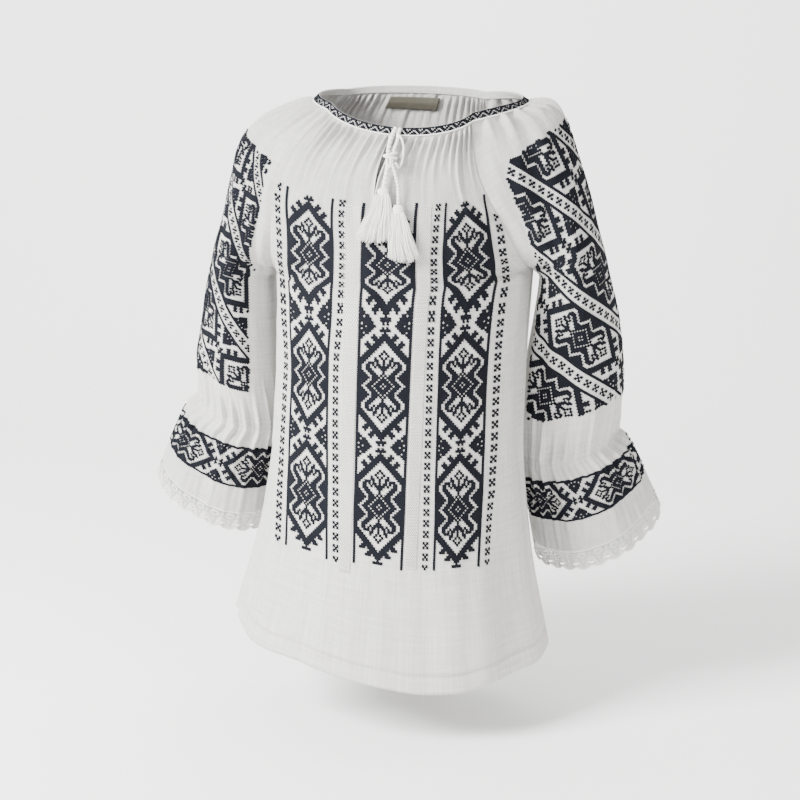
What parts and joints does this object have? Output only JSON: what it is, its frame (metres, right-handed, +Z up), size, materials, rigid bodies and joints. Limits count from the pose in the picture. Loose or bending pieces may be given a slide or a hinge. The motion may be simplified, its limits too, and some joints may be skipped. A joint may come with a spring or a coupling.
{
  "type": "romanian ie blouse",
  "caption": "White cotton folk blouse, filled out as if worn, with raglan sleeves, gathered neck and cuffs, dark cross-stitch bands, lace edging and tasselled drawstrings.",
  "frame": {"origin": "middle of the neck ring, level with the top of the neckband at the back", "axes": "+Z up, -Y out of the front, +X towards the sleeve on the right as seen from in front"},
  "size_m": [0.6407, 0.3043, 0.6875],
  "materials": {
    "cotton": "matt crinkled cotton",
    "lace": "matt cotton lace",
    "neckband": "dark cross stitch",
    "label": "woven satin, blank",
    "cord": "twisted cotton"
  },
  "bodies": {
    "root": {"front": "cotton", "back": "cotton", "sleeve_left": "cotton", "sleeve_right": "cotton", "frill_left": "cotton", "frill_right": "cotton", "lace_left_front": "lace", "lace_left_back": "lace", "lace_right_front": "lace", "lace_right_back": "lace", "neckband": "neckband", "label": "label", "cord_left": "cord", "cord_right": "cord", "tassel_left": "cord", "tassel_right": "cord"}
  },
  "joints": []
}
